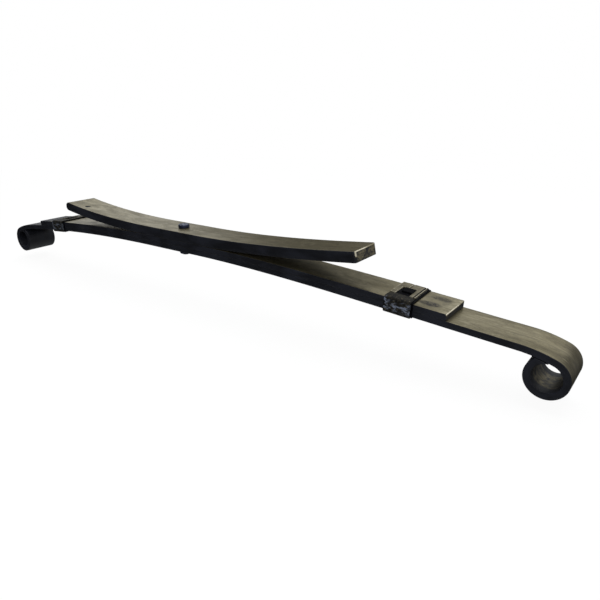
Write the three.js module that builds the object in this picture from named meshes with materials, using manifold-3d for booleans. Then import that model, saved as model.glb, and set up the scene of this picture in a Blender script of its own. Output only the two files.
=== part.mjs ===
// Semi-elliptic leaf spring: a main leaf with two rolled eyes, a second leaf under two clips,
// and a thick overload leaf, all held together by a centre bolt.
//
// Millimetres, +Z up, X along the spring, Y across it. The origin is on the centre-bolt axis at the top of
// the bolt's head, which locates the spring on its axle pad. The short arm runs toward -X, the long arm
// toward +X. The spring lies with its eyes down and its overload leaf on top.
// Each piece is built with the main leaf's underside at Z = 0, and the assembly lowers them all together.

import * as THREE from 'three';
import { mergeVertices } from 'three/addons/utils/BufferGeometryUtils.js';
import Module from 'manifold-3d';

const wasm = await Module();
wasm.setup();

// ---------------------------------------------------------------- driving dimensions

const INCH = 25.4;

const leafWidth = 1.75 * INCH;
const mainThickness = 0.262 * INCH;
const secondThickness = 0.262 * INCH;
const overloadThickness = 0.46875 * INCH;

// All three leaves are flat over this distance each side of the centre bolt, and the hole is drilled within
// the smaller one.
const seatHalfLength = 38;
const drilledHalfLength = 12;

// Each leaf leaves the seat on one radius and reaches its tip on another; + curves up, - curves down.
// A curvature of 0 is straight.
const frontArm = { direction: -1, reach: 347.5, seatCurvature: -1 / 3250, tipCurvature: -1 / 1850 };
const rearArm = { direction: 1, reach: 431.5, seatCurvature: -1 / 2135, tipCurvature: 1 / 9000 };
const secondFrontReach = 308;
const secondRearReach = 366;
const overloadFront = { direction: -1, reach: 229, seatCurvature: 1 / 1750, tipCurvature: 1 / 930 };
const overloadRear = { direction: 1, reach: 270.5, seatCurvature: 1 / 1450, tipCurvature: 1 / 3200 };

// The main leaf eases down before each eye, then rolls round under itself.
const eyeOuterRadius = 19.8;
const easeRadius = 120;
const easeAngle = THREE.MathUtils.degToRad(16);
const eyeOuterRoll = THREE.MathUtils.degToRad(306);
const eyeInnerRoll = THREE.MathUtils.degToRad(339);

const holeDiameter = 10.3;
const boltDiameter = 0.375 * INCH;
const boltHeadDiameter = 0.5625 * INCH;
const boltHeadHeight = 4.5;
const boltHeadChamfer = 0.8;
const boltEndProjection = 1.5;
const nutAcrossFlats = 0.5625 * INCH;
const nutHeight = 8.3;

// Each clip is a steel strap bent round the main and second leaves over a thin rubber liner.
const frontClipReach = 257;
const rearClipReach = 315.7;
const strapThickness = 1.2;
const strapWidth = 28;
const strapInnerRadius = 1.2;
const strapSeam = 0.6;
const strapSeamOffset = 11;
const windowWidth = 15.5;
const windowOffset = 1.35;
const windowFarEdge = 8.8;
const slitWidth = 1.5;
const slitOffset = 1.75;
const linerThickness = 0.6;
const linerInnerRadius = 0.5;
const linerInnerLip = 0.7;
const linerOuterLip = 2;
const linerGap = 2;
const bossLength = 11.6;
const bossWidth = 11;
const bossProud = 0.6;
const clipSkew = 2.4;

// Clearances between pieces.
const linerClearance = 0.2;
const strapClearance = 0.1;
const threadClearance = 0.3;
const bossClearance = 0.4;

// Smoothness of the curved faces.
const armStepLength = 22;
const easeSteps = 3;
const rollStepAngle = THREE.MathUtils.degToRad(9);
const roundSegments = 48;
const cornerSegments = 5;

// How far a cutting block reaches past the piece it cuts.
const overcut = 1;

// ---------------------------------------------------------------- derived heights

const halfWidth = leafWidth / 2;
const secondUnderside = mainThickness;
const secondTop = secondUnderside + secondThickness;
const overloadTop = secondTop + overloadThickness;
const headTop = overloadTop + boltHeadHeight;

// ---------------------------------------------------------------- materials

function surface(color, roughness, metalness) {
  return new THREE.MeshStandardMaterial({ color, roughness, metalness });
}

const leafSteel = surface(0x5b584a, 0.55, 0.75);
const boltSteel = surface(0x23252e, 0.5, 0.8);
const strapSteel = surface(0x3b3a34, 0.55, 0.7);
const linerRubber = surface(0x101012, 0.85, 0);

// ---------------------------------------------------------------- solids

function toManifold(geometry) {
  const bare = geometry.clone();
  bare.deleteAttribute('normal');
  bare.deleteAttribute('uv');
  const merged = mergeVertices(bare, 1e-4);
  const vertProperties = new Float32Array(merged.attributes.position.array);
  const triVerts = new Uint32Array(merged.index.array);
  return new wasm.Manifold(new wasm.Mesh({ numProp: 3, vertProperties, triVerts }));
}

function toGeometry(manifold) {
  const { vertProperties, triVerts } = manifold.getMesh();
  const geometry = new THREE.BufferGeometry();
  geometry.setAttribute('position', new THREE.BufferAttribute(vertProperties, 3));
  geometry.setIndex(new THREE.BufferAttribute(triVerts, 1));
  geometry.computeVertexNormals();
  return geometry;
}

function block(x0, x1, y0, y1, z0, z1) {
  const box = new THREE.BoxGeometry(x1 - x0, y1 - y0, z1 - z0);
  box.translate((x0 + x1) / 2, (y0 + y1) / 2, (z0 + z1) / 2);
  return toManifold(box);
}

function uprightCylinder(diameter, z0, z1) {
  const cylinder = new THREE.CylinderGeometry(diameter / 2, diameter / 2, z1 - z0, roundSegments);
  cylinder.rotateX(Math.PI / 2);
  cylinder.translate(0, 0, (z0 + z1) / 2);
  return toManifold(cylinder);
}

function namedMesh(name, geometry, material) {
  const mesh = new THREE.Mesh(geometry, material);
  mesh.name = name;
  return mesh;
}

// ---------------------------------------------------------------- leaf curves

// A path starts at the edge of the drilled middle and is a list of { x, z, heading }, where a heading of 0
// runs straight out along the arm and a positive one climbs. Each stretch continues it with an evenly
// changing curvature.
function extendPath(path, length, startCurvature, endCurvature, steps) {
  const fineSteps = 12;
  const ds = length / (steps * fineSteps);
  let { x, z, heading } = path[path.length - 1];
  for (let i = 1; i <= steps * fineSteps; i += 1) {
    const share = (i - 0.5) / (steps * fineSteps);
    const turn = THREE.MathUtils.lerp(startCurvature, endCurvature, share) * ds;
    x += Math.cos(heading + turn / 2) * ds;
    z += Math.sin(heading + turn / 2) * ds;
    heading += turn;
    if (i % fineSteps === 0) {
      path.push({ x, z, heading });
    }
  }
}

// Out over the flat seat, then along the arm's curve, stopping at each of the reaches in turn. A reach is
// measured along the leaf from the bolt axis.
function armPath(arm, ...reaches) {
  const curvatureAt = (distance) => {
    const share = (distance - seatHalfLength) / (arm.reach - seatHalfLength);
    return THREE.MathUtils.lerp(arm.seatCurvature, arm.tipCurvature, share);
  };
  const path = [{ x: drilledHalfLength, z: 0, heading: 0 }, { x: seatHalfLength, z: 0, heading: 0 }];
  let start = seatHalfLength;
  for (const reach of reaches) {
    const steps = Math.ceil((reach - start) / armStepLength);
    extendPath(path, reach - start, curvatureAt(start), curvatureAt(reach), steps);
    start = reach;
  }
  return path;
}

// The same path, `rise` higher on the leaf, on the arm's own side of the bolt.
function raisedPath(path, rise, base, direction) {
  return path.map(({ x, z, heading }) => ({
    x: direction * (x - Math.sin(heading) * rise),
    z: base + z + Math.cos(heading) * rise,
  }));
}

// The main leaf's path shares the second leaf's as far as that reaches, so that the two lie together.
function eyePath(arm, secondReach, roll) {
  const path = armPath(arm, secondReach, arm.reach);
  extendPath(path, easeRadius * easeAngle, -1 / easeRadius, -1 / easeRadius, easeSteps);
  const steps = Math.round(roll / rollStepAngle);
  extendPath(path, eyeOuterRadius * roll, -1 / eyeOuterRadius, -1 / eyeOuterRadius, steps);
  return path;
}

// ---------------------------------------------------------------- leaves

// The flat middle of a leaf, a plate with the centre-bolt hole through it.
function drilledMiddle(base, thickness) {
  const plate = new THREE.Shape([
    new THREE.Vector2(-drilledHalfLength, -halfWidth),
    new THREE.Vector2(drilledHalfLength, -halfWidth),
    new THREE.Vector2(drilledHalfLength, halfWidth),
    new THREE.Vector2(-drilledHalfLength, halfWidth),
  ]);
  plate.holes.push(new THREE.Path().absarc(0, 0, holeDiameter / 2, 0, 2 * Math.PI, true));
  const middle = new THREE.ExtrudeGeometry(plate, {
    depth: thickness, bevelEnabled: false, steps: 1, curveSegments: roundSegments,
  });
  middle.translate(0, 0, base);
  return toManifold(middle);
}

// One arm of a leaf, from its side outline between two paths, made leafWidth wide.
function armSolid(top, underside) {
  const outline = [...top, ...underside.toReversed()];
  const shape = new THREE.Shape(outline.map(({ x, z }) => new THREE.Vector2(x, z)));
  const bar = new THREE.ExtrudeGeometry(shape, { depth: leafWidth, bevelEnabled: false, steps: 1 });
  bar.rotateX(Math.PI / 2);
  bar.translate(0, halfWidth, 0);
  return toManifold(bar);
}

function mainArm(arm, secondReach) {
  const outside = raisedPath(eyePath(arm, secondReach, eyeOuterRoll), 0, mainThickness, arm.direction);
  const rolled = eyePath(arm, secondReach, eyeInnerRoll);
  const inside = raisedPath(rolled, -mainThickness, mainThickness, arm.direction);
  return armSolid(outside, inside);
}

function mainLeaf() {
  const front = mainArm(frontArm, secondFrontReach);
  const rear = mainArm(rearArm, secondRearReach);
  return toGeometry(drilledMiddle(0, mainThickness).add(front).add(rear));
}

function plainArm(arm, reach, base, thickness) {
  const path = armPath(arm, reach);
  const top = raisedPath(path, thickness, base, arm.direction);
  const underside = raisedPath(path, 0, base, arm.direction);
  return armSolid(top, underside);
}

function secondLeaf() {
  const front = plainArm(frontArm, secondFrontReach, secondUnderside, secondThickness);
  const rear = plainArm(rearArm, secondRearReach, secondUnderside, secondThickness);
  return toGeometry(drilledMiddle(secondUnderside, secondThickness).add(front).add(rear));
}

function overloadLeaf() {
  const front = plainArm(overloadFront, overloadFront.reach, secondTop, overloadThickness);
  const rear = plainArm(overloadRear, overloadRear.reach, secondTop, overloadThickness);
  return toGeometry(drilledMiddle(secondTop, overloadThickness).add(front).add(rear));
}

// ---------------------------------------------------------------- centre bolt and nut

function centreBolt() {
  const end = -nutHeight - boltEndProjection;
  const shank = boltDiameter / 2;
  const head = boltHeadDiameter / 2;
  const profile = [
    new THREE.Vector2(0, end),
    new THREE.Vector2(shank - boltHeadChamfer, end),
    new THREE.Vector2(shank, end + boltHeadChamfer),
    new THREE.Vector2(shank, overloadTop),
    new THREE.Vector2(head, overloadTop),
    new THREE.Vector2(head, headTop - boltHeadChamfer),
    new THREE.Vector2(head - boltHeadChamfer, headTop),
    new THREE.Vector2(0, headTop),
  ];
  const geometry = new THREE.LatheGeometry(profile, roundSegments);
  geometry.rotateX(Math.PI / 2);
  return toGeometry(toManifold(geometry));
}

function centreBoltNut() {
  const cornerRadius = nutAcrossFlats / 2 / Math.cos(Math.PI / 6);
  const hexagon = new THREE.CylinderGeometry(cornerRadius, cornerRadius, nutHeight, 6);
  hexagon.rotateX(Math.PI / 2);
  hexagon.translate(0, 0, -nutHeight / 2);
  const bore = uprightCylinder(boltDiameter + 2 * threadClearance, -nutHeight - overcut, overcut);
  return toGeometry(toManifold(hexagon).subtract(bore));
}

// ---------------------------------------------------------------- clips

// A clip's own frame has its origin between the main and second leaves, X outward along the arm.
const linerHalfWidth = halfWidth + linerClearance;
const linerHalfHeight = mainThickness + linerClearance;
const strapHalfWidth = linerHalfWidth + linerThickness + strapClearance;
const strapHalfHeight = linerHalfHeight + linerThickness + strapClearance;

function roundedRectangle(target, halfWide, halfHigh, radius) {
  target.moveTo(halfWide, -halfHigh + radius);
  target.absarc(halfWide - radius, halfHigh - radius, radius, 0, Math.PI / 2, false);
  target.absarc(-halfWide + radius, halfHigh - radius, radius, Math.PI / 2, Math.PI, false);
  target.absarc(-halfWide + radius, -halfHigh + radius, radius, Math.PI, 1.5 * Math.PI, false);
  target.absarc(halfWide - radius, -halfHigh + radius, radius, 1.5 * Math.PI, 2 * Math.PI, false);
  return target;
}

// A sheet bent round the leaves: its inside is 2 halfWide by 2 halfHigh and it runs from x0 to x1.
function wrappedSheet(halfWide, halfHigh, thickness, innerRadius, x0, x1) {
  const outer = roundedRectangle(
    new THREE.Shape(), halfWide + thickness, halfHigh + thickness, innerRadius + thickness,
  );
  outer.holes.push(roundedRectangle(new THREE.Path(), halfWide, halfHigh, innerRadius));
  const sheet = new THREE.ExtrudeGeometry(outer, {
    depth: x1 - x0, bevelEnabled: false, steps: 1, curveSegments: cornerSegments,
  });
  sheet.rotateX(Math.PI / 2);
  sheet.rotateZ(Math.PI / 2);
  sheet.translate(x0, 0, 0);
  return toManifold(sheet);
}

// The strap's ends meet on top at a seam, by a window; a slit runs from the window to the far side.
function clipStrap() {
  const half = strapWidth / 2;
  const band = wrappedSheet(strapHalfWidth, strapHalfHeight, strapThickness, strapInnerRadius, -half, half);
  const above = strapHalfHeight + strapThickness + overcut;
  const seamEdge = -strapSeamOffset - strapSeam / 2;
  const seam = block(-half - overcut, half + overcut, seamEdge, seamEdge + strapSeam, 0, above);
  const windowStart = -windowOffset - windowWidth / 2;
  const window = block(windowStart, windowStart + windowWidth, seamEdge, windowFarEdge, 0, above);
  const slitStart = -slitOffset - slitWidth / 2;
  const nearSide = windowFarEdge - overcut;
  const farSide = strapHalfWidth + strapThickness + overcut;
  const slit = block(slitStart, slitStart + slitWidth, nearSide, farSide, linerHalfHeight, above);
  return toGeometry(band.subtract(seam).subtract(window).subtract(slit));
}

// The liner is open along the underside so that it slips on, and its boss stands up through the window.
function clipLiner() {
  const x0 = -strapWidth / 2 - linerInnerLip;
  const x1 = strapWidth / 2 + linerOuterLip;
  const sleeve = wrappedSheet(linerHalfWidth, linerHalfHeight, linerThickness, linerInnerRadius, x0, x1);
  const below = -linerHalfHeight - linerThickness - overcut;
  const opening = block(x0 - overcut, x1 + overcut, -linerGap / 2, linerGap / 2, below, 0);
  const bossEnd = -windowOffset + windowWidth / 2 - bossClearance;
  const bossFar = windowFarEdge - bossClearance;
  const bossFoot = linerHalfHeight + linerThickness / 2;
  const bossTop = strapHalfHeight + strapThickness + bossProud;
  const boss = block(bossEnd - bossLength, bossEnd, bossFar - bossWidth, bossFar, bossFoot, bossTop);
  return toGeometry(sleeve.subtract(opening).add(boss));
}

// A clip sits slightly askew: its near side is clipSkew further toward +X than its far side.
function skewed(geometry) {
  const slope = -clipSkew / (2 * (strapHalfWidth + strapThickness));
  return geometry.applyMatrix4(new THREE.Matrix4().makeShear(0, 0, slope, 0, 0, 0));
}

function clip(name, arm, reach) {
  const path = armPath(arm, reach);
  const { x, z, heading } = path[path.length - 1];
  const group = new THREE.Group();
  group.position.set(arm.direction * x, 0, secondUnderside + z);
  group.rotation.y = -arm.direction * heading;
  const strap = skewed(clipStrap());
  const liner = skewed(clipLiner());
  group.add(namedMesh(`${name}_clip_strap`, strap, strapSteel));
  group.add(namedMesh(`${name}_clip_liner`, liner, linerRubber));
  return group;
}

// ---------------------------------------------------------------- assembly

const spring = new THREE.Group();
spring.position.z = -headTop;
spring.add(
  namedMesh('main_leaf', mainLeaf(), leafSteel),
  namedMesh('second_leaf', secondLeaf(), leafSteel),
  namedMesh('overload_leaf', overloadLeaf(), leafSteel),
  namedMesh('centre_bolt', centreBolt(), boltSteel),
  namedMesh('centre_bolt_nut', centreBoltNut(), boltSteel),
  clip('front', frontArm, frontClipReach),
  clip('rear', rearArm, rearClipReach),
);

export default spring;
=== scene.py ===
"""Looks for the leaf spring: three worn spring-steel leaves, a centre bolt and nut, and two clips.

Lengths are written in millimetres and turned into metres where a mesh is made. Heights are written from the
main leaf's underside, and TO_FRAME lowers them to the frame's origin, which is the top of the bolt's head.
A leaf is a cross-section swept along a path that starts beside the bolt and runs outward along one arm.
"""

import math
from functools import reduce

import bmesh
import bpy
from mathutils import Matrix, Vector, noise


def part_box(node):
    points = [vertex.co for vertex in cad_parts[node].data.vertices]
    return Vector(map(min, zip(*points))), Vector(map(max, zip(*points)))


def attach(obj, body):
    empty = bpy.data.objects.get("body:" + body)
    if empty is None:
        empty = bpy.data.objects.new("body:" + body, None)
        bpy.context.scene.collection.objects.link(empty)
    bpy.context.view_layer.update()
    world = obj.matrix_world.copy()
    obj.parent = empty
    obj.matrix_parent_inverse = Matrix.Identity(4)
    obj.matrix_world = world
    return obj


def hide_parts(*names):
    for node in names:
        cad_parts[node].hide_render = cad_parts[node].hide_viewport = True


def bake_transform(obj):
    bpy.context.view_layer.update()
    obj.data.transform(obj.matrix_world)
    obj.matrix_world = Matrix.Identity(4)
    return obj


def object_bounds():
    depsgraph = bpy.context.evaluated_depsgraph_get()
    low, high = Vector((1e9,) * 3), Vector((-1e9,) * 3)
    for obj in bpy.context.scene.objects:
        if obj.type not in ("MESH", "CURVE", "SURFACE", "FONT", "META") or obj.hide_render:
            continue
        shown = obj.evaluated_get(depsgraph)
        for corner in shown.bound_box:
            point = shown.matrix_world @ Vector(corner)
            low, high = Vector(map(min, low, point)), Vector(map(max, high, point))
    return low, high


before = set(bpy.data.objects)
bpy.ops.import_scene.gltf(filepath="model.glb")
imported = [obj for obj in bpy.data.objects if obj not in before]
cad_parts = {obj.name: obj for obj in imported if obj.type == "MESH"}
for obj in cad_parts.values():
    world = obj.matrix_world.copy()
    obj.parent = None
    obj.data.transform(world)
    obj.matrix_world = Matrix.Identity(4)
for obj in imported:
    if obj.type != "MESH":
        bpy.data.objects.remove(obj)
cad_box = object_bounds()

MM = 0.001


# ---------------------------------------------------------------- sizes

def cad_size(node, axis):
    """The lowest and highest coordinate of a CAD node along an axis, in millimetres."""
    low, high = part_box(node)
    return low[axis] / MM, high[axis] / MM


X, Y, Z = range(3)
TO_FRAME = Vector((0, 0, cad_size("centre_bolt_nut", Z)[1]))
HALF_WIDTH = cad_size("main_leaf", Y)[1]
NUT_HEIGHT = cad_size("centre_bolt_nut", Z)[1] - cad_size("centre_bolt_nut", Z)[0]
NUT_CORNER = cad_size("centre_bolt_nut", Y)[1]
BOLT_END = cad_size("centre_bolt", Z)[0] - TO_FRAME.z
HEAD_TOP = cad_size("centre_bolt", Z)[1] - TO_FRAME.z
HEAD_RADIUS = cad_size("centre_bolt", X)[1]

MAIN_TOP = 6.6548
SECOND_TOP = 2 * MAIN_TOP
HEAD_HEIGHT = 4.5
OVERLOAD_TOP = HEAD_TOP - HEAD_HEIGHT
HOLE_RADIUS = 5.15
SHANK_RADIUS = 4.7625
THREAD_PITCH = 1.058
THREAD_DEPTH = 0.55
THREAD_TOP = 8.0

# The arms' curves, as in the CAD: curvature changes evenly from the seat to the arm's end; + curves up.
SEAT = 38.0
SEAM = 12.0
FRONT = {"side": -1, "reach": 347.5, "seat": -1 / 3250, "tip": -1 / 1850, "body": "front_arm"}
REAR = {"side": 1, "reach": 431.5, "seat": -1 / 2135, "tip": 1 / 9000, "body": "rear_arm"}
OVERLOAD_FRONT = {"side": -1, "reach": 229, "seat": 1 / 1750, "tip": 1 / 930}
OVERLOAD_REAR = {"side": 1, "reach": 270.5, "seat": 1 / 1450, "tip": 1 / 3200}
SECOND_REACH = {"front_arm": 308, "rear_arm": 366}
CLIP_REACH = {"front_arm": 257, "rear_arm": 315.7}

# The eye: the leaf eases down, rolls round, and its scarfed end lies along its own underside.
EASE_RADIUS = 120
EASE_ANGLE = math.radians(16)
EYE_RADIUS = 19.8
OUTER_ROLL = math.radians(306)
INNER_ROLL = math.radians(339)

# The clip: a steel strap bent round the main and second leaves over a thin rubber liner.
STRAP_WIDTH = 28.0
STRAP_THICKNESS = 1.2
LINER_THICKNESS = 0.6
LINER_INNER_LIP = 0.7
LINER_OUTER_LIP = 2.0
LINER_CLEARANCE = 0.2
STRAP_CLEARANCE = 0.1
SEAM_AT = -11
SEAM_GAP = 0.6
WINDOW = (-9.1, 6.4)
WINDOW_FAR_EDGE = 8.8
SLIT = (-2.5, -1.0)
CLIP_SKEW = 2.4

# The overload leaf's dents, as (distance along, across) in each arm, and where the front end's paint begins.
LARGE_DENT = (191.5, -10.7)
SMALL_DENT = (226.5, -8.4)
REAR_DENT = (100, 0)
MAIN_PAINTED_FROM = 300
SECOND_PAINTED_FROM = 272

LEAF_FILLET = 0.45
OVERLOAD_FILLET = 0.55
STEP = 4.0
ROLL_STEP = math.radians(5)


# ---------------------------------------------------------------- mesh helpers

def shade(mesh, sharp_above=math.radians(40)):
    mesh.shade_smooth()
    mesh.set_sharp_from_angle(angle=sharp_above)


def to_frame(place):
    """The matrix from a piece's own millimetres to the frame's metres."""
    return Matrix.Scale(MM, 4) @ Matrix.Translation(TO_FRAME) @ place


def mesh_object(name, bm, material, place=Matrix()):
    """Turns a bmesh in millimetres into a shaded object in metres. place moves it within the frame."""
    bmesh.ops.transform(bm, matrix=to_frame(place), verts=bm.verts)
    bmesh.ops.recalc_face_normals(bm, faces=bm.faces)
    mesh = bpy.data.meshes.new(name)
    bm.to_mesh(mesh)
    bm.free()
    mesh.materials.append(material)
    shade(mesh)
    obj = bpy.data.objects.new(name, mesh)
    bpy.context.collection.objects.link(obj)
    return obj


def cut(obj, *cutters):
    """Cuts each of the cutters out of obj and removes it."""
    for cutter in cutters:
        modifier = obj.modifiers.new("cut", "BOOLEAN")
        modifier.operation = "DIFFERENCE"
        modifier.object = cutter
        modifier.solver = "EXACT"
        bpy.context.view_layer.update()
        depsgraph = bpy.context.evaluated_depsgraph_get()
        result = obj.evaluated_get(depsgraph)
        obj.data = bpy.data.meshes.new_from_object(
            result, preserve_all_data_layers=True, depsgraph=depsgraph
        )
        obj.modifiers.clear()
        shade(obj.data)
        bpy.data.objects.remove(cutter)


def ring_faces(bm, rings, closed=False):
    """Joins rings of vertices into a skin. A closed one meets itself; an open one gets its ends shut."""
    following = rings[1:] + rings[:1] if closed else rings[1:]
    for ring, after in zip(rings, following):
        for i in range(len(ring)):
            j = (i + 1) % len(ring)
            bm.faces.new((ring[i], ring[j], after[j], after[i]))
    if not closed:
        bm.faces.new(rings[0])
        bm.faces.new(rings[-1])


def turned(name, profile, material, segments=64, shape=None, closed=False):
    """A solid of revolution about Z from (radius, z) points. A closed profile goes round a hole.
    shape(angle, radius, z) may change each point's radius."""
    bm = bmesh.new()
    rings = []
    for radius, z in profile:
        ring = []
        for i in range(segments):
            angle = 2 * math.pi * i / segments
            r = shape(angle, radius, z) if shape else radius
            ring.append(bm.verts.new((r * math.cos(angle), r * math.sin(angle), z)))
        rings.append(ring)
    ring_faces(bm, rings, closed)
    return mesh_object(name, bm, material)


def ball(name, centre, radius):
    bm = bmesh.new()
    bmesh.ops.create_icosphere(bm, subdivisions=4, radius=radius)
    return mesh_object(name, bm, LEAF_STEEL, Matrix.Translation(centre))


def unevenness(x, y, z, size):
    """Smooth noise between -1 and 1 with bumps about this size."""
    return noise.noise(Vector((x, y, z)) / size)


# ---------------------------------------------------------------- procedural materials

def srgb(red, green, blue):
    """A linear colour from everyday 0-255 values."""
    def linear(value):
        value /= 255
        return value / 12.92 if value <= 0.04045 else ((value + 0.055) / 1.055) ** 2.4
    return (linear(red), linear(green), linear(blue), 1)


class Nodes:
    """Adds nodes to a tree step by step. Most methods return an output socket."""

    def __init__(self, tree):
        self.tree = tree

    def feed(self, socket, value):
        if isinstance(value, bpy.types.NodeSocket):
            self.tree.links.new(value, socket)
        else:
            socket.default_value = value

    def add(self, kind, output, inputs=None, **settings):
        """Adds a node, sets it up, feeds its inputs by name or number, and returns one of its outputs."""
        made = self.tree.nodes.new("ShaderNode" + kind)
        for key, value in settings.items():
            setattr(made, key, value)
        for key, value in (inputs or {}).items():
            self.feed(made.inputs[key], value)
        return made.outputs[output]

    def attribute(self, name):
        return self.add("Attribute", "Fac", attribute_name=name)

    def uv(self, name="metres"):
        return self.add("UVMap", "UV", uv_map=name)

    def along(self):
        """Distance along the leaf in millimetres, counted along +X from the bolt."""
        return self.math("DIVIDE", self.add("SeparateXYZ", "X", {0: self.uv("plan")}), MM)

    def place(self):
        return self.add("TexCoord", "Object")

    def stretch(self, vector, x, y, z=1.0):
        return self.add("Mapping", "Vector", {"Vector": vector, "Scale": (x, y, z)})

    def noise(self, vector, scale=1.0, detail=4.0, roughness=0.55, distortion=0.0):
        inputs = {"Vector": vector, "Scale": scale, "Detail": detail}
        return self.add("TexNoise", "Fac", inputs | {"Roughness": roughness, "Distortion": distortion})

    def math(self, operation, a, b=0.0):
        return self.add("Math", 0, {0: a, 1: b}, operation=operation)

    def product(self, *values):
        return reduce(lambda a, b: self.math("MULTIPLY", a, b), values)

    def total(self, *values):
        return reduce(lambda a, b: self.math("ADD", a, b), values)

    def band(self, value, low, high, out_low=0.0, out_high=1.0):
        """Maps low..high smoothly to out_low..out_high and holds it outside."""
        limits = {"From Min": low, "From Max": high, "To Min": out_low, "To Max": out_high}
        return self.add("MapRange", "Result", {"Value": value} | limits, interpolation_type="SMOOTHSTEP")

    def mix(self, share, a, b):
        return self.add("Mix", 2, {0: share, 6: a, 7: b}, data_type="RGBA")

    def tint(self, color, layer, low, high, most, *rgb):
        """Mixes an everyday colour in as a layer rises from low to high, up to this share at most."""
        return self.mix(self.band(layer, low, high, 0.0, most), color, srgb(*rgb))

    def between(self, share, a, b):
        return self.add("Mix", 0, {0: share, 2: a, 3: b}, data_type="FLOAT")

    def oval(self, along, across, length, width):
        """Distance from a spot on a leaf's face, as a share of an oval round it."""
        shape = {"Location": (along * MM, across * MM, 0), "Scale": (length / 2 * MM, width / 2 * MM, 1)}
        spot = self.add("Mapping", "Vector", {"Vector": self.uv("plan")} | shape, vector_type="TEXTURE")
        return self.add("VectorMath", "Value", {0: spot}, operation="LENGTH")

    def bump(self, height, distance, strength=1.0):
        inputs = {"Height": height, "Distance": distance * MM, "Strength": strength}
        return self.add("Bump", "Normal", inputs)


class Surface(Nodes):
    """A material built round one principled shader."""

    def __init__(self, name):
        self.material = bpy.data.materials.new(name)
        self.material.use_nodes = True
        super().__init__(self.material.node_tree)
        self.shader = self.tree.nodes["Principled BSDF"]

    def finish(self, color, roughness, metallic, normal=None):
        self.feed(self.shader.inputs["Base Color"], color)
        self.feed(self.shader.inputs["Roughness"], roughness)
        self.feed(self.shader.inputs["Metallic"], metallic)
        if normal is not None:
            self.feed(self.shader.inputs["Normal"], normal)
        return self.material


def leaf_steel(name, marks=()):
    """Rolled faces olive-brown, partly worn mill finish and partly a painted sheen of the bright room; side
    faces in near-black paint; edges rubbed bright, partly as painted highlight. Each mark is a function that
    takes the surface and its colour, and returns the marked colour."""
    s = Surface(name)
    uv = s.uv()
    paint = s.attribute("paint")
    wear_and_highlight = s.attribute("wear_and_highlight")

    grain = s.noise(s.stretch(uv, 45, 2300), detail=3)
    streaks = s.noise(s.stretch(uv, 6, 230), detail=5, roughness=0.6)
    fibres = s.noise(s.stretch(uv, 22, 640), detail=3, roughness=0.6, distortion=0.4)
    clouds = s.noise(s.stretch(uv, 24, 55), detail=6, roughness=0.62, distortion=0.6)
    blotches = s.noise(s.stretch(uv, 75, 120), detail=7, roughness=0.72, distortion=1.4)
    rubbing = s.noise(s.stretch(uv, 50, 210), detail=7, roughness=0.7, distortion=0.9)
    speckle = s.noise(s.stretch(uv, 620, 800), detail=4, roughness=0.7)
    scratch = s.noise(s.stretch(uv, 16, 1400), detail=2, distortion=0.3)
    grime = s.noise(s.stretch(uv, 90, 210), detail=6, roughness=0.7, distortion=0.8)

    # The olive-brown of the rolled faces is partly worn mill finish and partly a painted sheen.
    rolled = s.mix(s.band(clouds, 0.3, 0.7), srgb(112, 104, 78), srgb(160, 150, 118))
    rolled = s.tint(rolled, streaks, 0.42, 0.7, 0.45, 82, 75, 56)
    rolled = s.tint(rolled, fibres, 0.5, 0.66, 0.22, 60, 55, 42)
    rolled = s.tint(rolled, blotches, 0.48, 0.66, 0.5, 80, 73, 55)
    rolled = s.tint(rolled, rubbing, 0.56, 0.7, 0.5, 192, 183, 152)
    rolled = s.tint(rolled, grain, 0.35, 0.75, 0.25, 182, 173, 142)
    rolled = s.tint(rolled, scratch, 0.68, 0.76, 0.55, 208, 199, 170)
    rolled = s.tint(rolled, speckle, 0.56, 0.74, 0.6, 56, 51, 40)
    rolled = s.tint(rolled, grime, 0.58, 0.7, 0.5, 56, 50, 38)
    for mark in marks:
        rolled = mark(s, rolled)

    black = s.mix(s.band(clouds, 0.35, 0.7), srgb(13, 14, 19), srgb(26, 28, 36))
    chips = s.band(s.noise(s.stretch(uv, 210, 260), detail=2), 0.74, 0.79)
    black = s.mix(s.product(chips, 0.6), black, srgb(122, 122, 124))
    covered = s.band(s.total(paint, s.product(s.total(grime, -0.5), 1.1)), 0.35, 0.65)
    color = s.mix(covered, rolled, black)
    # Rubbed bright edges and ends, partly a painted highlight.
    rubbed = s.band(s.total(wear_and_highlight, s.product(s.total(streaks, grime, -1.0), 0.8)), 0.5, 0.75)
    color = s.mix(rubbed, color, srgb(214, 206, 184))

    satin = s.band(clouds, 0.3, 0.7, 0.42, 0.3)
    dull = s.band(clouds, 0.3, 0.7, 0.46, 0.6)
    roughness = s.total(s.between(covered, satin, dull), s.band(speckle, 0.3, 0.8, -0.04, 0.08))
    metallic = s.between(rubbed, s.between(covered, 0.9, 0.0), 0.35)
    height = s.total(s.product(grain, 0.6), s.product(speckle, 0.5), clouds)
    return s.finish(color, roughness, metallic, s.bump(height, 0.1, 0.6))


def smudged_tip(s, color):
    """The second leaf's rear end rubbed paler, with dark smudges."""
    tip = SECOND_REACH["rear_arm"]
    rub = s.noise(s.stretch(s.uv(), 120, 400), detail=5, roughness=0.7)
    pale = s.product(s.band(s.along(), tip - 16, tip), s.band(rub, 0.42, 0.6, 0.1, 0.75))
    color = s.mix(pale, color, srgb(196, 187, 158))
    ragged = s.noise(s.stretch(s.uv(), 210, 420), detail=7, roughness=0.74, distortion=1.2)
    smudges = ((22, -9, 24, 13, 1.0), (18, 10, 24, 12, 0.85), (10, 3, 9, 16, 0.4))
    for from_tip, across, length, width, depth in smudges:
        spot = s.band(s.oval(tip - from_tip, across, length, width), 0.55, 1.15, 1.0, 0.0)
        color = s.mix(s.product(spot, s.band(ragged, 0.36, 0.54), depth), color, srgb(36, 32, 25))
    return color


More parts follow.
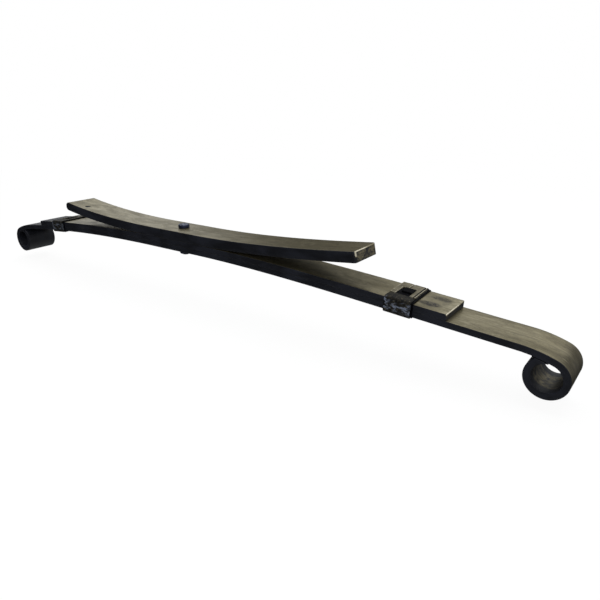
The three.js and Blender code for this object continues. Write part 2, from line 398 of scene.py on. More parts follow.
def cream_wear(s, color):
    """Pale wavy rubbing on the main leaf just past the second leaf's rear end, and a rear eye darker from
    where it bends.
    """
    tip, ease = SECOND_REACH["rear_arm"], REAR["reach"] + 16.5
    waves = s.noise(s.stretch(s.uv(), 30, 260), detail=6, roughness=0.62, distortion=2.2)
    here = s.product(s.band(s.along(), tip, tip + 12), s.band(s.along(), tip + 19, tip + 74, 1.0, 0.0))
    color = s.mix(s.product(here, s.band(waves, 0.47, 0.6, 0.0, 0.25)), color, srgb(206, 197, 168))
    return s.tint(color, s.along(), ease, ease + 40, 0.45, 52, 47, 36)


def scuffs_and_painted_light(s, color):
    """The overload leaf's rubbed oval, pale scratches, a painted highlight on its rear end and painted shade
    in its large dent.
    """
    ragged = s.noise(s.stretch(s.uv(), 260, 300), detail=4)
    ring = s.oval(198, -1, 15, 17)
    rim = s.product(s.band(ring, 0.55, 0.85), s.band(ring, 0.9, 1.2, 1.0, 0.0), s.band(ragged, 0.42, 0.6))
    color = s.mix(s.product(rim, 0.5), color, srgb(190, 182, 158))
    streak = s.product(s.band(s.oval(27, -3, 34, 3.5), 0.3, 1.0, 0.7, 0.0), s.band(ragged, 0.35, 0.6))
    color = s.mix(streak, color, srgb(214, 206, 180))
    streak = s.product(s.band(s.oval(-176, -7, 30, 5), 0.3, 1.0, 0.6, 0.0), s.band(ragged, 0.4, 0.6))
    color = s.mix(streak, color, srgb(208, 200, 172))
    # Painted highlight: the top made paler towards the rear end.
    tip = OVERLOAD_REAR["reach"] - 4.5
    rubbed = s.product(s.band(s.along(), tip - 41, tip), s.band(ragged, 0.3, 0.7, 0.15, 0.5))
    color = s.mix(rubbed, color, srgb(168, 158, 128))
    # Painted shade in the large dent: a dark oval over it.
    dent_shade = s.band(s.oval(-LARGE_DENT[0], LARGE_DENT[1], 9.5, 9.5), 0.6, 1.1, 0.85, 0.0)
    return s.mix(dent_shade, color, srgb(44, 39, 30))


def bolt_steel(name):
    """Blue-black oxide, with a painted highlight in patches on the head's top."""
    s = Surface(name)
    place = s.place()
    fine = s.noise(place, 1700, detail=4)
    patch = s.noise(place, 300, detail=5, roughness=0.6)
    color = s.mix(s.band(patch, 0.35, 0.7), srgb(34, 39, 60), srgb(66, 72, 96))
    # Painted highlight: the head's top paler in patches.
    color = s.mix(s.product(s.attribute("top"), s.band(patch, 0.4, 0.62)), color, srgb(112, 118, 134))
    roughness = s.band(fine, 0.3, 0.7, 0.32, 0.5)
    return s.finish(color, roughness, 0.75, s.bump(s.total(fine, patch), 0.06, 0.8))


def strap_steel(name):
    """Dark sheet steel: the top sheet olive, partly worn and partly a painted sheen; the near flap dark; the
    near side scuffed blue-grey.
    """
    s = Surface(name)
    place = s.place()
    fine = s.noise(place, 1100, detail=4)
    patch = s.noise(place, 330, detail=6, roughness=0.66, distortion=1.3)
    cloud = s.noise(place, 120, detail=5, roughness=0.6)
    grit = s.noise(place, 700, detail=5, roughness=0.7, distortion=0.8)
    dark = s.mix(s.band(cloud, 0.35, 0.65), srgb(10, 10, 11), srgb(28, 26, 21))
    dark = s.mix(s.product(s.band(grit, 0.5, 0.6), s.band(patch, 0.48, 0.62)), dark, srgb(90, 83, 65))
    # The olive of the top sheet is partly wear and partly a painted sheen of the bright surroundings.
    olive = s.mix(s.band(cloud, 0.3, 0.7), srgb(112, 105, 84), srgb(148, 140, 116))
    olive = s.tint(olive, patch, 0.5, 0.7, 0.6, 76, 70, 54)
    top = s.band(s.total(s.attribute("top"), s.product(s.total(patch, -0.5), 0.5)), 0.4, 0.6)
    color = s.mix(top, dark, olive)
    smears = s.noise(s.stretch(place, 130, 130, 260), detail=6, roughness=0.72, distortion=0.5)
    marks = s.product(s.attribute("scuff"), s.band(smears, 0.46, 0.6), s.band(grit, 0.36, 0.52, 0.25, 1.0))
    color = s.mix(marks, color, srgb(140, 149, 168))
    rubbed = s.band(s.total(s.attribute("wear_and_highlight"), s.product(s.total(fine, cloud, -1.0), 0.7)), 0.45, 0.75)
    color = s.mix(rubbed, color, srgb(206, 198, 174))
    dull = s.between(marks, 0.6, 0.4)
    satin = s.band(patch, 0.3, 0.7, 0.42, 0.32)
    roughness = s.total(s.between(top, dull, satin), s.band(fine, 0.3, 0.7, -0.04, 0.06))
    metallic = s.between(rubbed, s.between(top, s.between(marks, 0.1, 0.5), 0.85), 0.35)
    s.shader.inputs["Specular IOR Level"].default_value = 0.2
    height = s.total(s.product(fine, 0.5), patch)
    return s.finish(color, roughness, metallic, s.bump(height, 0.16, 0.8))


def liner_rubber(name):
    """Matt black rubber with a dusty bloom."""
    s = Surface(name)
    place = s.place()
    fine = s.noise(place, 2600, detail=3)
    dust = s.noise(place, 300, detail=5, roughness=0.6)
    color = s.tint(srgb(5, 5, 7), dust, 0.5, 0.75, 0.5, 20, 21, 28)
    s.shader.inputs["Specular IOR Level"].default_value = 0.06
    return s.finish(color, s.band(fine, 0.3, 0.7, 0.62, 0.82), 0.0, s.bump(fine, 0.1, 0.6))


LEAF_STEEL = leaf_steel("leaf_steel", (cream_wear,))
SECOND_STEEL = leaf_steel("second_leaf_steel", (smudged_tip,))
OVERLOAD_STEEL = leaf_steel("overload_leaf_steel", (scuffs_and_painted_light,))
BOLT_STEEL = bolt_steel("bolt_steel")
STRAP_STEEL = strap_steel("strap_steel")
LINER_RUBBER = liner_rubber("liner_rubber")


# ---------------------------------------------------------------- paths

def extend_path(path, length, start_curvature, end_curvature, step):
    """Continues a list of (distance, x, z, heading) with an evenly changing curvature."""
    steps = max(1, round(length / step))
    fine = 8
    ds = length / (steps * fine)
    distance, x, z, heading = path[-1]
    for i in range(1, steps * fine + 1):
        share = (i - 0.5) / (steps * fine)
        turn = (start_curvature + (end_curvature - start_curvature) * share) * ds
        x += math.cos(heading + turn / 2) * ds
        z += math.sin(heading + turn / 2) * ds
        heading += turn
        distance += ds
        if i % fine == 0:
            path.append((distance, x, z, heading))


def arm_path(arm, start, reach):
    """From a distance beside the bolt, over the flat seat and out to a reach."""
    path = [(start, start, 0.0, 0.0)]
    extend_path(path, SEAT - start, 0, 0, STEP)
    share = (reach - SEAT) / (arm["reach"] - SEAT)
    end = arm["seat"] + (arm["tip"] - arm["seat"]) * share
    extend_path(path, reach - SEAT, arm["seat"], end, STEP)
    return path


def eye_path(arm, start):
    path = arm_path(arm, start, arm["reach"])
    extend_path(path, EASE_RADIUS * EASE_ANGLE, -1 / EASE_RADIUS, -1 / EASE_RADIUS, STEP)
    extend_path(path, EYE_RADIUS * INNER_ROLL, -1 / EYE_RADIUS, -1 / EYE_RADIUS, EYE_RADIUS * ROLL_STEP)
    return path


def at_distance(path, distance):
    """The path's (distance, x, z, heading) at a distance between two of its stations."""
    for first, second in zip(path, path[1:]):
        if distance <= second[0] or second is path[-1]:
            share = (distance - first[0]) / (second[0] - first[0])
            return tuple(a + (b - a) * share for a, b in zip(first, second))


# ---------------------------------------------------------------- swept leaves

def corner_inset(distance_to_end, radius):
    """How far a rounded end has drawn in, this far from the very end."""
    into = min(radius, radius - distance_to_end)
    if into <= 0:
        return 0.0
    return radius - math.sqrt(max(0.0, radius * radius - into * into))


def section(half_width, low, high, fillet):
    """The cross-section as (y, height, paint, edge) points, round from the near underside. paint is 1 on the
    underside, the two narrow faces and the lower edges, and edge is 1 along the rounded upper edges."""
    across, up, round_steps = 18, 3, 4
    fillet = min(fillet, 0.46 * (high - low), 0.46 * half_width)
    flat = half_width - fillet
    bottom, top = low + fillet, high - fillet
    corners = ((flat, bottom, -90), (flat, top, 0), (-flat, top, 90), (-flat, bottom, 180))
    points = []
    for index, (y, height, first_angle) in enumerate(corners):
        for i in range(round_steps + 1):
            share = i / round_steps
            angle = math.radians(first_angle + 90 * share)
            paint, edge = 1.0, 0.0
            if index in (1, 2):
                edge = 1 - abs(2 * share - 1)
                paint = min(1.0, 4 * (1 - share if index == 1 else share))
            points.append((y + fillet * math.cos(angle), height + fillet * math.sin(angle), paint, edge))
        after = corners[(index + 1) % 4]
        end_angle = math.radians(after[2])
        end = (after[0] + fillet * math.cos(end_angle), after[1] + fillet * math.sin(end_angle))
        begin = points[-1]
        steps = up if index in (0, 2) else across
        for i in range(1, steps):
            share = i / steps
            y_here = begin[0] + (end[0] - begin[0]) * share
            height_here = begin[1] + (end[1] - begin[1]) * share
            points.append((y_here, height_here, begin[2], 0.0))
    return points


def rounded_end_stations(path, radii):
    """The path's stations with closer ones over the last few millimetres, where the end is rounded."""
    total = path[-1][0]
    deepest = max(radii)
    steps = 8
    wanted = [total - deepest * (1 - math.sin(math.pi / 2 * i / steps)) for i in range(steps + 1)]
    return [p for p in path if p[0] < wanted[0] - STEP / 4] + [at_distance(path, d) for d in wanted]


def leaf_end(radii, lean=0.0, worn=0.0, bare=0.0, near=0.0):
    """A plain end. radii rounds its top, underside, near and far corners, lean is how far its face leans
    back, and worn, bare and near say how rubbed its top edge, its face and its near edge are; the rubbed top
    edge is partly a painted highlight."""
    return {"radii": radii, "lean": lean, "worn": worn, "bare": bare, "near": near}


def sweep_leaf(
    name, material, path, direction, base, low, high, fillet, end=None, rolled=None, painted_from=None
):
    """A leaf's half as a skin round a path. It stops at a plain end, or rolled(distance) gives its
    thickness, how painted its outside is and how bare its bore. From painted_from on, the top keeps its
    paint."""
    total = path[-1][0]
    stations = rounded_end_stations(path, end["radii"]) if end else list(path)
    bm = bmesh.new()
    layers = {key: bm.verts.layers.float.new(key) for key in ("paint", "wear_and_highlight", "around", "along", "across")}
    rings = []
    for distance, x, z, heading in stations:
        left = total - distance
        bottom, top, lean, painted, bare_bore = low, high, 0.0, 0.0, 0.0
        near_inset = far_inset = 0.0
        if rolled:
            thickness, painted, bare_bore = rolled(distance)
            top = min(high, low + thickness)
        if painted_from:
            painted = max(painted, min(1.0, max(0.0, (distance - painted_from) / 14)))
        if end:
            top -= corner_inset(left, end["radii"][0])
            bottom += corner_inset(left, end["radii"][1])
            near_inset, far_inset = (corner_inset(left, radius) for radius in end["radii"][2:])
            lean = end["lean"] * max(0.0, 1 - left / (2 * STEP))
        along = direction * distance
        ring, girth, previous = [], 0.0, None
        for y, height, paint, edge in section(HALF_WIDTH, bottom, top, fillet):
            girth += math.dist(previous, (y, height)) if previous else 0.0
            previous = (y, height)
            middle = (bottom + top) / 2
            hollow = 0.04 + 0.04 * unevenness(along, y, height + base, 25)
            nick = 0.3 * edge * max(0.0, unevenness(along, y, base, 6) - 0.2)
            h = height - (hollow + nick) * (1 if height > middle else -1)
            inset = nick + 0.02 + (near_inset if y < 0 else far_inset)
            y_here = y * (1 - inset / HALF_WIDTH)
            px = x - math.sin(heading) * h - lean * (height - low) / (high - low)
            vert = bm.verts.new((direction * px, y_here, base + z + math.cos(heading) * h))
            if height < middle:
                middle_of_width = max(0.0, 1 - max(0.0, abs(y) - 0.55 * HALF_WIDTH) / (0.3 * HALF_WIDTH))
                paint -= bare_bore * middle_of_width
            vert[layers["paint"]] = max(paint, painted * (height > middle))
            vert[layers["wear_and_highlight"]] = 0.2 * edge * (1 - painted)
            # A rubbed end's top edge is bared and brightened, more towards the near side; this is partly a
            # painted highlight.
            if end and left < end["radii"][0] and height > middle:
                toward_near = 0.5 - y / (2 * HALF_WIDTH)
                below_edge = y < 0.5 - HALF_WIDTH and height < top - fillet
                worn = end["worn"] * (end["near"] if below_edge else 1.0)
                vert[layers["paint"]] = 1.0 - worn
                vert[layers["wear_and_highlight"]] = worn * (0.42 + 0.6 * toward_near)
            vert[layers["around"]] = girth
            vert[layers["along"]] = along
            vert[layers["across"]] = y
            ring.append(vert)
        rings.append(ring)
    if end:
        rings.append(end_face_ring(bm, rings[-1], layers, end["bare"]))
    ring_faces(bm, rings)
    add_uvs(bm, layers)
    return mesh_object(name, bm, material)


def end_face_ring(bm, ring, layers, bare):
    """A slightly smaller copy of the last ring, so that the end face gets its own finish."""
    inset = 0.35
    centre = sum((v.co for v in ring), Vector()) / len(ring)
    copied = []
    for vert in ring:
        away = vert.co - centre
        made = bm.verts.new(vert.co - away.normalized() * inset)
        for layer in layers.values():
            made[layer] = vert[layer]
        made[layers["paint"]] = 1.0 - bare
        made[layers["wear_and_highlight"]] = 0.0
        copied.append(made)
    return copied


def add_uvs(bm, layers):
    """Two UV maps in metres: length along the leaf by girth round it, and length by distance across. On a
    shut end the first map is distance across by height."""
    metres = bm.loops.layers.uv.new("metres")
    plan = bm.loops.layers.uv.new("plan")
    for face in bm.faces:
        girths = [loop.vert[layers["around"]] for loop in face.loops]
        shut_end = len(girths) > 4
        wraps = not shut_end and max(girths) - min(girths) > HALF_WIDTH
        for loop in face.loops:
            girth = loop.vert[layers["around"]]
            if wraps and girth < HALF_WIDTH:
                girth = max(girths) + 1
            length = loop.vert[layers["along"]] * MM
            across = loop.vert[layers["across"]] * MM
            loop[metres].uv = (across, loop.vert.co.z * MM) if shut_end else (length, girth * MM)
            loop[plan].uv = (length, across)


def rolled_eye(path, barest):
    """Thickness and paint along the roll. The leaf is whole until the outer roll stops, then scarfed along a
    straight face. The paint is thick from where the roll turns under; starting it this early on the curl is
    partly painted shade. barest is how much of the bore has lost its paint."""
    inner = EYE_RADIUS - MAIN_TOP
    roll_start = path[-1][0] - EYE_RADIUS * INNER_ROLL
    # Paint on the curl begins early enough to darken it, partly as painted shade.
    paint_and_shade_from, paint_and_shade_full = math.radians(54), math.radians(98)
    bore_from, bore_full = math.radians(-10), math.radians(30)
    corner = Vector((EYE_RADIUS * math.cos(OUTER_ROLL), EYE_RADIUS * math.sin(OUTER_ROLL)))
    feather = Vector((inner * math.cos(INNER_ROLL), inner * math.sin(INNER_ROLL)))
    face = feather - corner
    thinnest = 0.4

    def rolled(distance):
        angle = (distance - roll_start) / EYE_RADIUS
        painted = min(1.0, max(0.0, (angle - paint_and_shade_from) / (paint_and_shade_full - paint_and_shade_from)))
        bare_bore = barest * min(1.0, max(0.0, (angle - bore_from) / (bore_full - bore_from)))
        if angle <= OUTER_ROLL:
            return MAIN_TOP, painted, bare_bore
        ray = Vector((math.cos(angle), math.sin(angle)))
        radius = (corner.x * face.y - corner.y * face.x) / (ray.x * face.y - ray.y * face.x)
        return max(thinnest, radius - inner), painted, bare_bore

    return rolled


def bolt_hole_cutter():
    profile = [(HOLE_RADIUS, -5), (HOLE_RADIUS, HEAD_TOP)]
    return turned("hole_cutter", profile, LEAF_STEEL, segments=48)


def place_leaf_half(obj, node, arm, start):
    if start < 0:
        cut(obj, bolt_hole_cutter())
    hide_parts(node)
    if "body" not in arm:
        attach(obj, "seat")
        return
    clip = at_distance(arm_path(arm, SEAT, arm["reach"]), CLIP_REACH[arm["body"]] - STRAP_WIDTH / 2 - 3)
    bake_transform(obj)


def build_main_leaf():
    for arm, start, barest, painted_from in (
        # The front bore keeps all its black paint, which also stands as painted shade inside the front eye.
        (FRONT, SEAM, 0.0, MAIN_PAINTED_FROM),
        (REAR, -SEAM, 0.5, None),
    ):
        path = eye_path(arm, start)
        obj = sweep_leaf(
            "main_leaf_" + arm["body"], LEAF_STEEL, path, arm["side"], MAIN_TOP, -MAIN_TOP, 0.0, LEAF_FILLET,
            rolled=rolled_eye(path, barest), painted_from=painted_from,
        )
        place_leaf_half(obj, "main_leaf", arm, start)


def build_second_leaf():
    radii = (0.8, 0.5, 1.2, 1.2)
    painted = leaf_end(radii, worn=0.3)
    sheared = leaf_end(radii, worn=1.0)
    thickness = SECOND_TOP - MAIN_TOP
    for arm, start, end, painted_from in (
        (FRONT, SEAM, painted, SECOND_PAINTED_FROM),
        (REAR, -SEAM, sheared, None),
    ):
        path = arm_path(arm, start, SECOND_REACH[arm["body"]])
        obj = sweep_leaf(
            "second_leaf_" + arm["body"], SECOND_STEEL, path, arm["side"], MAIN_TOP, 0.0, thickness,
            LEAF_FILLET, end=end, painted_from=painted_from,
        )
        place_leaf_half(obj, "second_leaf", arm, start)


def dimple(arm, spot, radius, depth):
    """A ball that leaves a round dent of this depth in the overload leaf's top."""
    reach, across = spot
    _, x, z, heading = at_distance(arm_path(arm, SEAT, arm["reach"]), reach)
    height = OVERLOAD_TOP - SECOND_TOP + radius - depth
    along = arm["side"] * (x - math.sin(heading) * height)
    return ball("dimple", (along, across, SECOND_TOP + z + math.cos(heading) * height), radius)


def build_overload_leaf():
    bull_nose = leaf_end((5.8, 5.8, 0.8, 0.8))
    bevelled = leaf_end((1.0, 0.8, 3.0, 6.0), lean=1.0, worn=1.0, bare=0.45, near=1.0)
    thickness = OVERLOAD_TOP - SECOND_TOP
    for name, arm, start, end in (
        ("overload_leaf_front", OVERLOAD_FRONT, SEAM, bull_nose),
        ("overload_leaf_rear", OVERLOAD_REAR, -SEAM, bevelled),
    ):
        path = arm_path(arm, start, arm["reach"])
        obj = sweep_leaf(
            name, OVERLOAD_STEEL, path, arm["side"], SECOND_TOP, 0.0, thickness, OVERLOAD_FILLET, end=end
        )
        if arm is OVERLOAD_FRONT:
            cut(obj, dimple(arm, LARGE_DENT, 6.0, 1.6), dimple(arm, SMALL_DENT, 2.6, 0.9))
        else:
            cut(obj, dimple(arm, REAR_DENT, 3.0, 0.35))
        place_leaf_half(obj, "overload_leaf", arm, start)


# ---------------------------------------------------------------- centre bolt and nut

def mark_top(obj, height):
    """Flags the faces that sit at this height, for the paler top."""
    layer = obj.data.attributes.new("top", "FLOAT", "POINT")
    for index, vert in enumerate(obj.data.vertices):
        layer.data[index].value = 1.0 if vert.co.z / MM - TO_FRAME.z > height else 0.0


def build_bolt():
    def surface(angle, radius, z):
        if z > OVERLOAD_TOP:
            x, y = math.cos(angle), math.sin(angle)
            return radius - 0.05 - 0.05 * unevenness(6 * x, 6 * y, z, 1.5)
        if z > THREAD_TOP or radius < SHANK_RADIUS:
            return radius
        ridge = abs(2 * ((z / THREAD_PITCH - angle / (2 * math.pi)) % 1) - 1)
        lead = min(1.0, (z - BOLT_END) / (1.5 * THREAD_PITCH))
        return radius - THREAD_DEPTH * (1 - ridge * lead)

    chamfer = 0.8
    rings_per_turn = 6
    rings = round((THREAD_TOP - BOLT_END) / THREAD_PITCH * rings_per_turn)
    profile = [(0.5, BOLT_END), (SHANK_RADIUS - 1.2, BOLT_END)]
    for i in range(1, rings + 1):
        profile.append((SHANK_RADIUS, BOLT_END + (THREAD_TOP - BOLT_END) * i / rings))
    profile += [
        (SHANK_RADIUS, OVERLOAD_TOP - 0.2),
        (SHANK_RADIUS, OVERLOAD_TOP),
        (HEAD_RADIUS - 0.35, OVERLOAD_TOP + 0.02),
        (HEAD_RADIUS, OVERLOAD_TOP + 0.4),
        (HEAD_RADIUS, OVERLOAD_TOP + 1.6),
        (HEAD_RADIUS, HEAD_TOP - chamfer - 0.1),
        (HEAD_RADIUS - 0.2, HEAD_TOP - chamfer + 0.2),
        (HEAD_RADIUS - chamfer, HEAD_TOP - 0.12),
        (HEAD_RADIUS - chamfer - 0.5, HEAD_TOP),
        (HEAD_RADIUS - 2.2, HEAD_TOP - 0.04),
        (HEAD_RADIUS - 2.9, HEAD_TOP - 0.22),
        (0.5, HEAD_TOP - 0.25),
    ]
    obj = turned("centre_bolt_fine", profile, BOLT_STEEL, segments=72, shape=surface)
    mark_top(obj, HEAD_TOP - chamfer + 0.1)
    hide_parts("centre_bolt")
    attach(obj, "seat")


def build_nut():
    flat = NUT_CORNER * math.cos(math.pi / 6)
    bore = SHANK_RADIUS + 0.1
    drop = 0.9

    def hexagon(angle, radius, z):
        if radius <= bore + 1:
            return radius
        toward_flat = (angle + math.pi / 6) % (math.pi / 3) - math.pi / 6
        facet = flat / math.cos(toward_flat)
        end_gap = min(-z, z + NUT_HEIGHT)
        cone = flat - 0.15 + end_gap * (NUT_CORNER - flat + 0.15) / drop
        return min(facet, cone, NUT_CORNER - 0.05)

    outer = [0.0, 0.15, 0.3, 0.5, 0.7, drop, 1.3]
    outer = outer + [NUT_HEIGHT / 2] + [NUT_HEIGHT - z for z in reversed(outer)]
    profile = [(bore, -0.4), (bore + 0.5, 0.0)]
    profile += [(NUT_CORNER, -z) for z in outer]
    profile += [(bore + 0.5, -NUT_HEIGHT), (bore, -NUT_HEIGHT + 0.4)]
    obj = turned("centre_bolt_nut_fine", profile, BOLT_STEEL, segments=96, shape=hexagon, closed=True)
    mark_top(obj, NUT_HEIGHT)
    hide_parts("centre_bolt_nut")
    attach(obj, "seat")


# ---------------------------------------------------------------- clips

LINER_HALF_WIDTH = HALF_WIDTH + LINER_CLEARANCE
LINER_HALF_HEIGHT = MAIN_TOP + LINER_CLEARANCE
STRAP_HALF_WIDTH = LINER_HALF_WIDTH + LINER_THICKNESS + STRAP_CLEARANCE
STRAP_HALF_HEIGHT = LINER_HALF_HEIGHT + LINER_THICKNESS + STRAP_CLEARANCE


def wrap_stations(half_wide, half_high, radius, start, end, step):
    """Points round a rounded rectangle as (y, z, normal_y, normal_z, face), from start on its top over the
    near side and on to end on its top. Faces count top, near, bottom, far, top as 0 to 4."""
    flat, tall = half_wide - radius, half_high - radius
    stations = []

    def line(y0, z0, y1, z1, ny, nz, face):
        steps = max(1, round(math.dist((y0, z0), (y1, z1)) / step))
        for i in range(steps + 1):
            share = i / steps
            stations.append((y0 + (y1 - y0) * share, z0 + (z1 - z0) * share, ny, nz, face))

    def arc(y, z, first, face):
        for i in range(1, 6):
            angle = math.radians(first + 90 * i / 6)
            ny, nz = math.cos(angle), math.sin(angle)
            stations.append((y + radius * ny, z + radius * nz, ny, nz, face))

    line(start, half_high, -flat, half_high, 0, 1, 0)
    arc(-flat, tall, 90, 0.5)
    line(-half_wide, tall, -half_wide, -tall, -1, 0, 1)
    arc(-flat, -tall, 180, 1.5)
    line(-flat, -half_high, flat, -half_high, 0, -1, 2)
    arc(flat, -tall, 270, 2.5)
    line(half_wide, -tall, half_wide, tall, 1, 0, 3)
    arc(flat, tall, 0, 3.5)
    line(flat, half_high, end, half_high, 0, 1, 4)
    return stations


def sheet(name, material, stations, columns, thickness, missing, outer_lift, attributes, place):
    """A bent sheet. Columns run along the leaf, stations round it. missing(station, next, x) leaves a cell
    out, outer_lift(station, x) raises the outer skin and attributes(station, x) gives a point's flags."""
    bm = bmesh.new()
    keys = ("top", "scuff", "wear_and_highlight")
    layers = {key: bm.verts.layers.float.new(key) for key in keys}
    skins = ([], [])
    for station in stations:
        y, z, ny, nz, _ = station
        rows = ([], [])
        for x in columns:
            lift = outer_lift(station, x)
            for row, out in zip(rows, (0.0, thickness + lift)):
                vert = bm.verts.new((x, y + ny * out, z + nz * out))
                for key, value in zip(keys, attributes(station, x)):
                    vert[layers[key]] = value
                row.append(vert)
        skins[0].append(rows[0])
        skins[1].append(rows[1])
    present = {}
    for i in range(len(stations) - 1):
        for j in range(len(columns) - 1):
            middle = (columns[j] + columns[j + 1]) / 2
            present[i, j] = not missing(stations[i], stations[i + 1], middle)
    inner, outer = skins
    for (i, j), here in present.items():
        if not here:
            continue
        corners = ((i, j), (i, j + 1), (i + 1, j + 1), (i + 1, j))
        bm.faces.new([outer[a][b] for a, b in corners])
        bm.faces.new([inner[a][b] for a, b in reversed(corners)])
        neighbours = ((i - 1, j), (i, j + 1), (i + 1, j), (i, j - 1))
        for index, neighbour in enumerate(neighbours):
            if not present.get(neighbour):
                a, b = corners[index], corners[(index + 1) % 4]
                bm.faces.new((outer[b[0]][b[1]], outer[a[0]][a[1]], inner[a[0]][a[1]], inner[b[0]][b[1]]))
    loose = [v for v in bm.verts if not v.link_faces]
    bmesh.ops.delete(bm, geom=loose, context="VERTS")
    return mesh_object(name, bm, material, place)


def spread(marks, step):
    """Numbers from the first mark to the last that land on every mark and are about a step apart."""
    numbers = [marks[0]]
    for low, high in zip(marks, marks[1:]):
        steps = max(1, round((high - low) / step))
        numbers += [low + (high - low) * i / steps for i in range(1, steps + 1)]
    return numbers


def strap(name, place, scuffing, bare):
    """The strap round both leaves, with a window and a slit in its top and a hem along its +X edge."""
    half = STRAP_WIDTH / 2
    groove, rim, rim_top, lip = half - 2.9, half - 2.1, half - 1.6, half - 0.9
    flap_corner = 6.5
    near_seam = SEAM_AT - SEAM_GAP / 2
    far_seam = SEAM_AT + SEAM_GAP / 2

    def missing(first, second, x):
        y = (first[0] + second[0]) / 2
        on_top = first[4] == 4 and second[4] == 4
        over_far_edge = first[4] >= 3.5
        if on_top and y < WINDOW_FAR_EDGE and WINDOW[0] < x < WINDOW[1]:
            return True
        return over_far_edge and y > WINDOW_FAR_EDGE and SLIT[0] < x < SLIT[1]

    def outer_lift(station, x):
        y, z, _, _, face = station
        dents = -0.14 - 0.12 * unevenness(x, y, z, 5)
        if face in (0.5, 1) or (face == 0 and y < near_seam - 2):
            dents -= 0.4 * max(0.0, unevenness(x, y + 40, z, 4.5))
        if face in (3.5, 4):
            dip = math.exp(-(((x - groove) / 0.6) ** 2))
            rise = math.exp(-(((x - rim_top) / 0.6) ** 2))
            dents += (0.26 * rise if face == 4 else 0.0) - 0.6 * dip - 0.6 * (x > lip - 0.1)
        return dents

    def flags(station, x):
        y, z, _, _, face = station
        top = bare if face == 4 else 0.5 * bare if face == 3.5 else 0.0
        middle_band = math.exp(-((z / (0.62 * STRAP_HALF_HEIGHT)) ** 4)) + 0.8 * (x < 1.5 - half)
        scuff = scuffing * min(1.0, middle_band) if face in (0.5, 1, 1.5) else 0.0
        # Bright lines at the hem's rim and at the window's and slit's edges: partly worn edges, partly
        # painted highlight.
        at_rim = face == 4 and abs(x - rim_top) < 0.3
        at_start = face == 4 and abs(x + half) < 0.3
        at_window = face == 4 and abs(x - WINDOW[0]) < 0.2 and y < WINDOW_FAR_EDGE + 0.2
        at_slit = face == 4 and SLIT[0] - 0.2 < x < SLIT[0] + 0.2 and y > WINDOW_FAR_EDGE
        wear_and_highlight = bare * (1.0 if at_rim or at_window or at_slit else 0.7 if at_start else 0.0)
        # Painted shade: the groove and the hem's end are coloured dark.
        if abs(x - groove) < 0.6 or x > lip - 0.1:
            top = 0.0
        return top, scuff, wear_and_highlight

    openings = [WINDOW[0] - 0.5, WINDOW[0], SLIT[0] - 0.7, SLIT[0], SLIT[1], WINDOW[1]]
    columns = spread([-half, *openings, groove - 0.5, groove], 1.3)
    columns += [groove + 0.35, rim, rim_top, lip - 0.35, lip, half]
    stations = wrap_stations(STRAP_HALF_WIDTH, STRAP_HALF_HEIGHT, 1.2, near_seam, far_seam, 1.25)
    stations = snap_station(stations, WINDOW_FAR_EDGE)
    obj = sheet(name, STRAP_STEEL, stations, columns, STRAP_THICKNESS, missing, outer_lift, flags, place)
    round_flap(obj, place, near_seam, half, flap_corner)
    return obj


def snap_station(stations, y):
    """Moves the nearest point of the last top face to this y, so that an opening can end there."""
    last = [i for i, s in enumerate(stations) if s[4] == 4]
    nearest = min(last, key=lambda i: abs(stations[i][0] - y))
    moved = list(stations)
    moved[nearest] = (y,) + stations[nearest][1:]
    return moved


def round_flap(obj, place, near_seam, half, radius):
    """Draws the corners of the strap's near flap into arcs where it ends at the seam."""
    forth = to_frame(place)
    back = forth.inverted()
    for vert in obj.data.vertices:
        x, y, z = back @ vert.co
        from_end = near_seam - y
        if z > STRAP_HALF_HEIGHT - 0.5 and -0.01 <= from_end < radius:
            x *= 1 - corner_inset(from_end, radius) / half
            vert.co = forth @ Vector((x, y, z))


def liner(name, place):
    x0 = -STRAP_WIDTH / 2 - LINER_INNER_LIP
    x1 = STRAP_WIDTH / 2 + LINER_OUTER_LIP
    gap = 1.0
    around = wrap_stations(LINER_HALF_WIDTH, LINER_HALF_HEIGHT, 0.5, 0, 0, 2.0)
    kept = [s for s in around if 0 < s[4] < 4 or abs(s[0]) >= gap]
    upside_down = [(y, -z, ny, -nz, face) for y, z, ny, nz, face in kept]

    def lip(station, x):
        past = max(0.0, abs(x - (x0 + x1) / 2) - STRAP_WIDTH / 2)
        return -0.03 - 0.03 * unevenness(x, station[0], station[1], 4) + 0.25 * min(1.0, past) * (x > 0)

    columns = sorted(spread([x0, -STRAP_WIDTH / 2, STRAP_WIDTH / 2, x1], 2.0) + [x1 - 0.4])
    return sheet(
        name, LINER_RUBBER, upside_down, columns, LINER_THICKNESS, lambda a, b, x: False, lip,
        lambda station, x: (0.0, 0.0, 0.0), place,
    )


def boss(name, place):
    """The liner's rounded block, standing up through the strap's window."""
    length, width, proud, clearance = 11.6, 11.0, 0.6, 0.4
    top = STRAP_HALF_HEIGHT + STRAP_THICKNESS + proud
    foot = LINER_HALF_HEIGHT + LINER_THICKNESS + 0.02
    x1 = WINDOW[1] - clearance
    y0 = WINDOW_FAR_EDGE - clearance - width
    bm = bmesh.new()
    bmesh.ops.create_cube(bm, size=1)
    bmesh.ops.scale(bm, vec=(length, width, top - foot), verts=bm.verts)
    bmesh.ops.translate(bm, vec=(x1 - length / 2, y0 + width / 2, (top + foot) / 2), verts=bm.verts)
    bmesh.ops.bevel(bm, geom=bm.edges[:], offset=0.7, segments=3, affect="EDGES", profile=0.6)
    long_edges = [e for e in bm.edges if e.calc_length() > 3]
    bmesh.ops.subdivide_edges(bm, edges=long_edges, cuts=6, use_grid_fill=True)
    bm.faces.sort(key=lambda face: face.calc_center_median().dot((1, 100, 10000)))
    for vert in bm.verts:
        if vert.co.z > top - 0.2:
            away = math.dist((vert.co.x, vert.co.y), (x1 - length / 2, y0 + width / 2))
            vert.co.z -= 0.5 * math.exp(-((away / 3.4) ** 2)) + 0.05 * unevenness(*vert.co, 2)
    return mesh_object(name, bm, LINER_RUBBER, place)


